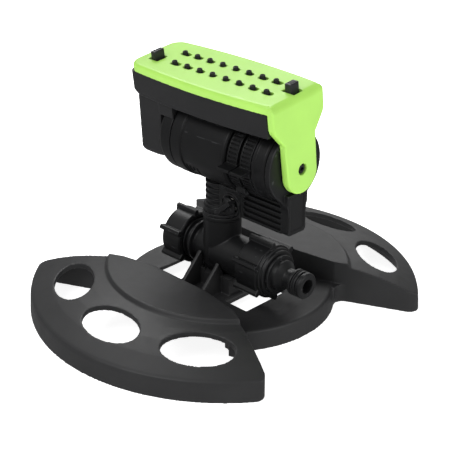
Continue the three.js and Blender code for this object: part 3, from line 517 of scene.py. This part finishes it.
def tee():
    left = [(-32.4, 0), (-32.4, 12.6), (-31.6, 13.1), (-21, 13.1), (-20.4, 10.8), (-18, 10.8),
            (-17.6, 13.4), (-16, 13.4), (-15.6, 10.2), (0, 10.2), (0, 0)]
    right = [(0, 0), (0, 12.6), (27, 12.6), (28, 13.1), (39.6, 13.1), (40.4, 12.6), (40.4, 0)]
    body = unite(
        rod("z", 24, 55, 11.6, 96),
        ring("z", 54.6, 57, 9, 12.1, 96),
        block(-7.2, 7.2, -8.6, 8.6, 19.5, 26),
        on_pipe(lathe("x", left)),
        on_pipe(lathe("x", right)),
    )
    body = cut(body, on_pipe(rod("x", -40, 50, 8)), rod("z", PIPE_Z, 60, 6.4),
               rod("z", 45, 60, 8.7))
    piece("tee_pipe", moulded(body, 0.35, keep=0.5), PIPE_BLACK, "tee_body", "base_unit")


def lugs(start, end):
    """The six grips of a screw cap or nut."""
    half, root, tip = 1.5, 15.3, 19.2
    outline = [(root, -half - 0.5), (tip - 0.7, -half), (tip, -half + 0.6),
               (tip, half - 0.6), (tip - 0.7, half), (root, half + 0.5)]
    bar = prism(outline, start, end, "yz")
    return around(bar, 6, math.radians(33.7))


def cap_and_nut():
    cap = lathe("x", [(-37.6, 0), (-37.6, 14.6), (-37.2, 15.6), (-36.4, NUT_R), (-22.4, NUT_R),
                      (-21.7, 15.8), (-21.7, NUT_BORE), (-34, NUT_BORE), (-34, 0)])
    cap = unite(cap, *lugs(-38, -21.2))
    piece("end_cap_shell", moulded(on_pipe(cap), 0.22, rounds=2, keep=0.5), PIPE_BLACK,
          "end_cap", "end_cap")
    nut = lathe("x", [(26, 13.4), (26, 15.6), (26.8, NUT_R), (42.8, NUT_R), (42.8, 15.4),
                      (44.6, 15.2), (44.6, 14.2), (46.2, 14), (46.6, 13.2), (46.6, 11),
                      (44.6, 11), (44.6, NUT_BORE), (28.2, NUT_BORE), (26, 13.4)])
    nut = unite(nut, *lugs(25, 43.6))
    piece("inlet_nut_shell", moulded(on_pipe(nut), 0.2, rounds=2, keep=0.5), PIPE_BLACK,
          "inlet_nut", "inlet_nut")


def hose_tail():
    profile = [(42.1, 4.4), (42.1, 12.8), (44.3, 12.8), (44.3, 10.7), (47, 10.7), (47, 11.9),
               (48.6, 11.9), (48.6, 9.6), (51.2, 9.6), (52.2, 8.6), (55, 6.2), (59.9, 6.2),
               (60.3, 8), (61.9, 8), (62.1, 6.2), (63.9, 6.2), (64.1, 8), (65.4, 8), (65.6, 7),
               (66.4, 7), (66.6, 8), (68.6, 7.9), (69.4, 7.1), (69.4, 4.4), (42.1, 4.4)]
    tail = lathe("x", eased(profile, 0.3, 3), 112)
    piece("hose_tail", on_pipe(tail), PIPE_BLACK, "hose_nipple", "base_unit")
    seal = lathe("x", arc(63, 7.15, 0.75, 0, 2 * math.pi, 12)[:-1] + [(63.75, 7.15)], 80)
    piece("tail_seal", on_pipe(seal), RUBBER, "nipple_oring", "base_unit")


# ---------------------------------------------------------------- riser and valve
def flange_outline():
    """The round pivot flange, running down into its foot through two fillets."""
    foot, low, r, fillet = 7.3, 62.5 - PIVOT_Z, 21.3, 12
    cx = foot + fillet
    cz = -math.sqrt((r + fillet) ** 2 - cx ** 2)
    right = [(foot - 1, low), (foot, low + 1.5)]
    right += arc(cx, cz, fillet, math.pi, math.atan2(-cz, -cx), 12)
    left = [(-y, z) for y, z in reversed(right)]
    start = math.atan2(cz, cx)
    crown = arc(0, 0, r, start, math.pi - start, 72)[1:-1]
    return [(y, z + PIVOT_Z) for y, z in right + crown + left]


def riser():
    """The ribbed column and arm that carry the drum, with the valve's boss and the flange."""
    top, back, face, front, web = 88, 53.8, 57.4, 60, 7.3
    body = unite(
        rod("z", 61.6, top, 8.8, 80),
        block(0, back + 0.5, -5.2, 5.2, 62.5, top),
        block(24, back + 0.5, -web, web, 80.6, top),
        rod("z", 59.4, 62.6, 11.6, 96),
        rod("z", 46, 60, 8.2),
        block(22.6, 24.4, -web, web, 62.5, top),
        block(6, 23, -8.6, 0, 62.5, 80.5),
        block(8.6, 27.6, -9.4, -7.2, 77.6, 82.4),
        moved(rod("y", -9.8, -4, 6.9), (VALVE_X, 0, VALVE_Z)),
    )
    ribs, first_rib, rib_pitch, rib_half = 6, 63.4, 3.6, 0.85
    for i in range(ribs):
        low = first_rib + rib_pitch * i - rib_half
        high = first_rib + rib_pitch * i + rib_half
        collar = common(rod("z", low, high, 10.2, 80), block(-12, 6, -12, 12, 60, 90))
        body = unite(body, collar, block(4, 24, 0, 9.8, low, high),
                     block(24, back + 0.5, -web, web, low, high))
    body = cut(body, moved(rod("x", -60, 24.9, DRUM_R + 0.9, 128), (0, 0, PIVOT_Z)),
               moved(rod("x", 24, back, 23, 128), (0, 0, PIVOT_Z)))
    outline = flange_outline()
    foot = common(prism(outline, face - 0.5, front, "yz"), block(50, 70, -8.3, 8.3, 50, 87.6))
    foot = cut(foot, block(front - 0.7, 70, -5.6, 5.6, 64.6, 86))
    body = unite(body, prism(outline, back, face, "yz"), foot)
    body = cut(
        body,
        rod("z", 45, 63.4, 5.4),
        block(-3.6, VALVE_X + 3.6, -3.6, 3.6, 63.2, 66),
        moved(rod("z", 64, 90, 4.4), (VALVE_X, 0, 0)),
        moved(rod("y", -12, 6.3, 5.3), (VALVE_X, 0, VALVE_Z)),
        moved(rod("x", 50, 62, 2.2), (0, 0, PIVOT_Z)),
        ring("z", 50.2, 52.4, 6.8, 9),
    )
    piece("riser_column", moulded(body, 0.33, keep=0.5), PIPE_BLACK, "riser_body", "base_unit")
    lock = lathe("z", eased([(57.3, 8.5), (57.3, 11.9), (59.1, 11.9), (59.1, 8.5), (57.3, 8.5)],
                            0.35))
    piece("lock_ring", lock, PIPE_BLACK, "riser_lock_ring", "base_unit")


def flow_dial():
    lever_turn = math.radians(-41)
    disc = lathe("y", [(-12.6, 0), (-12.6, 4.9), (-12.3, 5.4), (-11.8, 5.7), (-10.9, 5.7),
                       (-10.9, 3), (-10.5, 3), (-10.5, 0)])
    lever = moved(prism(stadium(15.4, 1.25), -17, -12, "xz"), turn=lever_turn, axis="Y")
    pit = moved(rod("y", -14, -11.6, 1.7), (-2.6, 0, 2.9))
    body = unite(cut(disc, pit), rod("y", -10.6, -5.4, 2.4))
    body = moulded(unite(body, lever), 0.18, rounds=2, keep=0.5)
    piece("flow_dial", moved(body, (VALVE_X, 0, VALVE_Z)), PIPE_BLACK, "flow_knob", "flow_valve")


# ---------------------------------------------------------------- drive drum
def on_axis(obj):
    return moved(obj, (0, 0, PIVOT_Z))


def around_drum(start, end, inner, outer):
    return ring("x", start, end, inner, outer, DRUM_STEPS)


def wedge(from_turn, to_turn):
    """A sector about the drum's axis, in degrees from +Y towards +Z."""
    a, b = math.radians(from_turn), math.radians(to_turn)
    return prism([(0, 0)] + arc(0, 0, 40, a, b, 12), -20, 30, "yz")


def drum_end_cap():
    profile = [(-29.8, 6.9), (-29.8, 21.6), (-29.3, 22.9), (-28.4, 23.8), (-27, LEFT_CAP_R),
               (-19.6, LEFT_CAP_R), (-19.6, 22.1), (-25.6, 22.1), (-25.6, 9.4), (-21.8, 9.4),
               (-21.8, 6.9), (-29.8, 6.9)]
    cap = on_axis(lathe("x", profile, DRUM_STEPS))
    piece("drum_end_cap", moulded(cap, 0.3, rounds=2, keep=0.4), DRUM_BLACK, "drum_left_cap",
          "base_unit")


def drum_shell():
    """The drum's middle, with its grooves, its marked panel, its neck and the trip's slot."""
    r = DRUM_R
    shell = [(-18.9, 22.1), (-18.9, r), (-18.3, r + 0.5), (-11, r + 0.5), (-10.4, r), (23.4, r),
             (24, r - 0.3), (24.6, r - 1), (24.6, NECK_R), (43.6, NECK_R), (43.6, 16), (24.6, 16),
             (24.6, 2.2), (22, 2.2), (22, 22.1), (-18.9, 22.1)]
    body = lathe("x", shell, DRUM_STEPS)
    spread = math.radians(19)
    sweep = arc(0, 0, 30, TRIP_TURN - spread, TRIP_TURN + spread, 12)
    slot = prism([(0, 0)] + sweep, 33.7, 35.5, "yz")
    body = cut(body, rod("z", -30, -18, 4.2), cut(slot, rod("x", 30, 40, 14)))
    grooves = [around_drum(x, x + 0.5, r - 0.45, r + 2) for x in (-10.2, 22.4)]
    panel = common(around_drum(-9.4, 0.8, r - 0.6, r + 2), wedge(208, 231))
    body = cut(body, *grooves, panel)
    marks = [common(around_drum(x, x + 0.7, r - 1, r + 0.05), wedge(from_turn, to_turn))
             for x, from_turn, to_turn in ((-7.5, 212, 226), (-4.5, 212, 219), (-1.5, 212, 226))]
    body = unite(body, *marks)
    piece("drum_shell", moulded(on_axis(body), 0.25, rounds=2, keep=0.35), DRUM_BLACK,
          "drum_body", "base_unit")


def drum_collar():
    profile = [(44, 0), (44, 21.9), (44.5, 22.4), (45.5, 22.4), (45.9, 21.7), (52.2, 21.6),
               (53.2, 20.9), (53.5, 20), (53.5, 18), (46.4, 18), (46.4, 0)]
    body = cut(lathe("x", profile, DRUM_STEPS), rod("x", 43, 48, 1.9))
    body = unite(body, ring("x", 46, 53.5, 2.5, 6))
    piece("drum_collar", moulded(on_axis(body), 0.3, rounds=2, keep=0.4), DRUM_BLACK,
          "drum_right_cover", "base_unit")


def sweep_ring(side):
    """A knurled band between two plain lips, with a finger tab."""
    start, end = SWEEP_RINGS[side]
    count, tip, root, lip = 56, 22.3, 21.5, 0.9
    outline = []
    for i in range(count):
        for turn, r in ((-0.36, root), (-0.3, tip), (0.3, tip), (0.36, root)):
            angle = (i + turn) * 2 * math.pi / count
            outline.append((r * math.cos(angle), r * math.sin(angle)))
    band = prism(outline, start + lip, end - lip, "yz")
    lips = [rod("x", a, a + lip, tip + 0.1, 96) for a in (start, end - lip)]
    tab = prism([(-29.5, -2.6), (-29.8, -1.7), (-29.5, -0.8), (-24, -0.4), (-19.6, 1.2),
                 (-19.6, -4.4), (-24, -2.9)], start - 0.4, end + 0.4, "yz")
    body = cut(unite(band, *lips, tab), rod("x", start - 1, end + 1, NECK_R + 0.25, 96))
    piece(f"sweep_collar_{side}", moulded(on_axis(body), 0.16, rounds=1, keep=0.4), DRUM_BLACK,
          f"sweep_ring_{side}", f"sweep_ring_{side}")


def trip():
    """The pointer between the sweep rings: a spoke through the neck with a curved paddle."""
    centre = TRIP_TURN
    spoke = unite(rod("x", 34.1, 35.1, 4.5),
                  moved(block(34.1, 35.1, 3, 26.4, -1.6, 1.6), turn=centre))
    paddle = prism(arc(0, 0, 26.2, centre - 0.07, centre + 0.07, 6)
                   + arc(0, 0, 24, centre + 0.12, centre - 0.12, 6), 31.2, 38, "yz")
    body = cut(unite(spoke, paddle), rod("x", 33, 36, 1.75))
    piece("trip_pointer", moulded(on_axis(body), 0.2, rounds=2, keep=0.5), DRUM_BLACK,
          "trip_lever", "trip")


def pivot_pin():
    """A blackened steel screw with a six-sided recess."""
    head = lathe("x", eased([(46.8, 0), (46.8, 1.7), (57.8, 1.7), (57.8, 3), (61.6, 3),
                             (62.2, 2.2), (62.2, 0)], 0.25))
    recess = prism([(1.5 * math.cos(a), 1.5 * math.sin(a))
                    for a in (math.pi * i / 3 for i in range(6))], 60.9, 63, "yz")
    piece("pivot_screw", on_axis(cut(head, recess)), PIPE_BLACK, "arm_pivot_pin", "base_unit")


# ---------------------------------------------------------------- tilting head
def barrel(x0, x1, end_half, mid_half, bend=3.0):
    """A plan with bowed long sides, a square right end and a rounded left end."""
    steps, bend = 28, max(bend, 0.6)
    centre, reach = (x0 + x1) / 2, (x1 - x0) / 2

    def half(x):
        return end_half + (mid_half - end_half) * (1 - ((x - centre) / reach) ** 2)

    inner = x0 + bend
    upper = [(x1 + (inner - x1) * i / steps, half(x1 + (inner - x1) * i / steps))
             for i in range(steps + 1)]
    upper += arc(inner, half(inner) - bend, bend, math.pi / 2, math.pi, 10)[1:]
    return upper + [(x, -y) for x, y in reversed(upper)]


def tray():
    """The deep tray, hollow above and below, with a chamfer at its left foot."""
    def grown(by):
        return barrel(HEAD_LEFT - by, 57 + by, 19.6 + by, 22.3 + by, 4 + by)

    body = cut(
        prism(grown(0), 24.5, 39.3),
        prism(barrel(-26, 54.8, 17.2, 19.9), 23.5, 30),
        prism(grown(-2.4), 35.9, 41),
        prism(grown(-4.6), 32, 36),
        moved(rod("z", 23.5, 33, 4.4), (-39, 0, 0)),
        prism([(-57, 23.5), (-44, 23.5), (-46, 24.5), (-57, 30)], -30, 30, "xz"),
        cut(prism(grown(1), 26.2, 26.8), prism(grown(-0.5), 25, 28)),
    )
    piece("tray_shell", moulded(body, 0.36, rounds=3, keep=0.5), TRAY_BLACK, "nozzle_tray", "head",
          leaning=True)


def left_arm():
    """The hollow arm at the left end, with two shoulders that clear the drum."""
    half, foot, low, corner, end, inner = 19.4, 21, -14, 5.5, -49, -30.4
    outline = [(half - 0.6, 24.2), (-half + 0.6, 24.2)]
    outline += arc(-foot + corner, low + corner, corner, math.pi, 1.5 * math.pi, 16)
    outline += arc(foot - corner, low + corner, corner, 1.5 * math.pi, 2 * math.pi, 16)
    profile = [(inner, low + 3), (inner, 26), (end, 26)]
    profile += arc(end + corner, low + corner, corner, math.pi, 1.5 * math.pi, 16)
    body = common(prism(outline, end, inner, "yz"), prism(profile, -30, 30, "xz"))
    body = edge_rounded(body, 0.9, 4)
    for side in (-1, 1):
        near, far = sorted((side * 13, side * half))
        shoulder = block(-31, -19.5, near, far, 10, 24.2)
        body = unite(body, cut(shoulder, rod("x", -32, -18, 24.9, 96)))
    body = cut(body, rod("x", -42, -29, 5.3), moved(rod("z", 0, 25, 4.4), (-38.6, 0, 0)))
    piece("waterway_arm", moulded(body, 0.4, rounds=2, keep=0.5), TRAY_BLACK, "left_waterway_arm",
          "head", leaning=True)


def nozzle_places(row):
    """Each nozzle's x and y, and how many pitches it is from its row's middle."""
    start, y = (ROW_X, -ROW_Y) if row == "front" else (ROW_X - ROW_SHIFT, ROW_Y)
    half = (NOZZLES - 1) / 2
    return [(start + (i - half) * NOZZLE_PITCH, y, abs(i - half)) for i in range(NOZZLES)]


def nozzles(row):
    places = nozzle_places(row)
    y = places[0][1]
    centre = (places[0][0] + places[-1][0]) / 2
    length = (NOZZLES - 1) * NOZZLE_PITCH + 9
    strip = edge_rounded(prism(stadium(length, 4.4), 38.3, 39.9), 0.3, 2)
    strip = moved(strip, (centre, y, 0))
    tip = eased([(39.5, 0), (39.5, 2.1), (42.6, 1.9), (46.3, 1.5), (46.3, 0.75), (45.4, 0.6),
                 (45.4, 0)], 0.3)
    for x, y, _ in places:
        strip = unite(strip, moved(lathe("z", tip, 40), (x, y, 0)),
                      moved(rod("z", 36.4, 38.6, 1.8, 32), (x, y, 0)))
    piece(f"nozzle_row_{row}", strip, RUBBER, f"nozzle_strip_{row}", "head",
          leaning=True)


def cover():
    """The lime cover with its pivot arm, its nozzle slots and the sliders' windows."""
    edge, right, top, skin = COVER_EDGE, COVER_RIGHT, HEAD_TOP, 2.3
    plan = barrel(HEAD_LEFT, edge + 4.4, 20, 23.2, 9)
    body = edge_rounded(prism(plan, 39.6, top), 2.3, 6)
    body = unite(body, prism(plan, 39.6, 41.6))
    hollow = common(prism(barrel(-51, edge + 2.2, 17.8, 21, 6.8), 38.6, top - skin),
                    block(-60, edge - 0.4, -30, 30, 0, 60))
    body = common(cut(body, hollow), block(-60, edge + 0.5, -30, 30, 0, 60))
    side = [(12.5, 18.5), (18.6, 26.8), (19.6, 28.4), (20.2, 30.2), (20.4, 32.4),
            (20.4, top - 2.6), (19.9, top - 1.2), (18.7, top - 0.3), (17, top)]
    outline = arc(0, -2.6, 12.2, math.pi, 2 * math.pi, 48) + side
    outline += [(-y, z) for y, z in reversed(side)]
    arm = edge_rounded(prism(outline, edge, right, "yz"), 1.3, 5)
    bend = 4.8
    envelope = unite(block(50, right - bend, -25, 25, -20, 60),
                     block(50, 70, -25, 25, -20, top - bend),
                     moved(rod("y", -25, 25, bend, 96), (right - bend, 0, top - bend)))
    body = unite(body, common(arm, envelope))
    slots = [moved(prism(stadium(4.3 + spread * 0.9, 2), 41, 47), (x + 0.15 + spread * 0.2, y, 0))
             for row in ("front", "back") for x, y, spread in nozzle_places(row)]
    windows = [block(x0 - 2.2, x1 + 2.2, y0 - 0.3, y1 + 0.3, 41.4, 50)
               for x0, x1, y0, y1 in TABS.values()]
    body = cut(body, *slots, *windows, rod("x", 50, 70, 3.35))
    piece("lime_cover", moulded(body, 0.3, rounds=4, keep=0.4), LIME, "top_cover", "head",
          leaning=True)


def slider(row):
    """A slotted plate over one row of nozzles, with a ribbed finger tab."""
    x0, x1, y0, y1 = TABS[row]
    places = nozzle_places(row)
    sign = 1 if row == "back" else -1
    left, right = min(x0, places[0][0] - 5.2), max(x1 - 2, places[-1][0] + 5.2)
    near, far = sorted((sign * 0.5, sign * 12.2))
    slots = [moved(prism(stadium(8.8, 2.2), 39, 43), (x, y, 0)) for x, y, _ in places]
    plate = cut(block(left, right, near, far, 40.4, 41.8), *slots)
    tab = edge_rounded(block(x0, x1, y0, y1, 41.6, 49.4), 0.55, 3)
    ridges = [block(x0 - 1, x1 + 1, y - 0.3, y + 0.3, 49.05, 50)
              for y in (y0 + 2, (y0 + y1) / 2, y1 - 2)]
    piece(f"width_tab_{row}", unite(plate, cut(tab, *ridges)), PIPE_BLACK, f"width_slider_{row}",
          f"width_slider_{row}", leaning=True)


# ---------------------------------------------------------------- carried-over nodes
def carried_over():
    """Materials for the frame's own inner pieces, which stay as they are."""
    finishes = {
        RUBBER: ["inlet_washer", "end_cap_washer", "riser_oring", "shaft_seal", "tray_gasket"],
        NATURAL: ["inlet_filter", "valve_plug", "gearbox_bulkhead", "gearbox_plate",
                  "turbine_wheel", "idler_gear", "output_shaft", "output_gear", "reverser_vane",
                  "manifold_plate"],
        STEEL: ["pedestal_screw_front", "pedestal_screw_back", "toggle_spring", "trip_shaft",
                "turbine_shaft", "idler_shaft"],
        BRASS: ["turbine_pinion"],
    }
    for material, names in finishes.items():
        for name in names:
            mesh = frame["nodes"][name].data
            mesh.materials.clear()
            mesh.materials.append(material)


# ---------------------------------------------------------------- studio
def studio():
    """A pale floor, a dim white world and four soft lamps."""
    ground = bmesh.new()
    bmesh.ops.create_grid(ground, x_segments=1, y_segments=1, size=4)
    floor = object_from(ground, "floor")
    pale = bpy.data.materials.new("pale_floor")
    pale.use_nodes = True
    shader = pale.node_tree.nodes["Principled BSDF"]
    shader.inputs["Base Color"].default_value = (0.9, 0.9, 0.9, 1)
    shader.inputs["Roughness"].default_value = 0.9
    shader.inputs["Emission Color"].default_value = (1, 1, 1, 1)
    shader.inputs["Emission Strength"].default_value = 0.88
    floor.data.materials.append(pale)
    floor.visible_glossy = False

    world = bpy.data.worlds.new("studio")
    bpy.context.scene.world = world
    world.use_nodes = True
    world.node_tree.nodes["Background"].inputs["Color"].default_value = (1, 1, 1, 1)
    world.node_tree.nodes["Background"].inputs["Strength"].default_value = 0.26

    for name, place, size, power in (
        ("key", (-0.1, -0.9, 1.1), 1.0, 9.5),
        ("fill", (1.25, 0.1, 0.6), 0.9, 5.5),
        ("top", (-0.75, 0.42, 1.12), 0.65, 8.5),
        ("rim", (-0.6, 0.95, 0.45), 0.5, 1.2),
    ):
        light = bpy.data.lights.new(name, "AREA")
        light.energy = power
        light.size = size
        lamp = bpy.data.objects.new(name, light)
        lamp.location = place
        lamp.rotation_euler = (Vector((0, 0, 0.07)) - Vector(place)).to_track_quat("-Z", "Y") \
            .to_euler()
        bpy.context.scene.collection.objects.link(lamp)

    bpy.context.scene.view_settings.view_transform = "Standard"


def camera():
    """Looks at the head's foot from the front right, a little from above."""
    azimuth, elevation, distance = math.radians(44.9), math.radians(25.72), 730.9
    aim = Vector((RISER_X - 12.0, 14.2, 38.5))
    back = Vector((math.sin(azimuth) * math.cos(elevation),
                   -math.cos(azimuth) * math.cos(elevation), math.sin(elevation)))
    data = bpy.data.cameras.new("camera")
    data.sensor_width = 36
    data.lens = 93.46
    data.clip_start, data.clip_end = 0.01, 50
    eye = bpy.data.objects.new("camera", data)
    eye.location = (aim + back * distance) * MM
    eye.rotation_euler = (-back).to_track_quat("-Z", "Y").to_euler()
    bpy.context.scene.collection.objects.link(eye)
    bpy.context.scene.camera = eye


base()
tee()
cap_and_nut()
hose_tail()
riser()
flow_dial()
drum_end_cap()
drum_shell()
drum_collar()
sweep_ring("left")
sweep_ring("right")
trip()
pivot_pin()
tray()
left_arm()
nozzles("front")
nozzles("back")
cover()
slider("front")
slider("back")
carried_over()
studio()
camera()
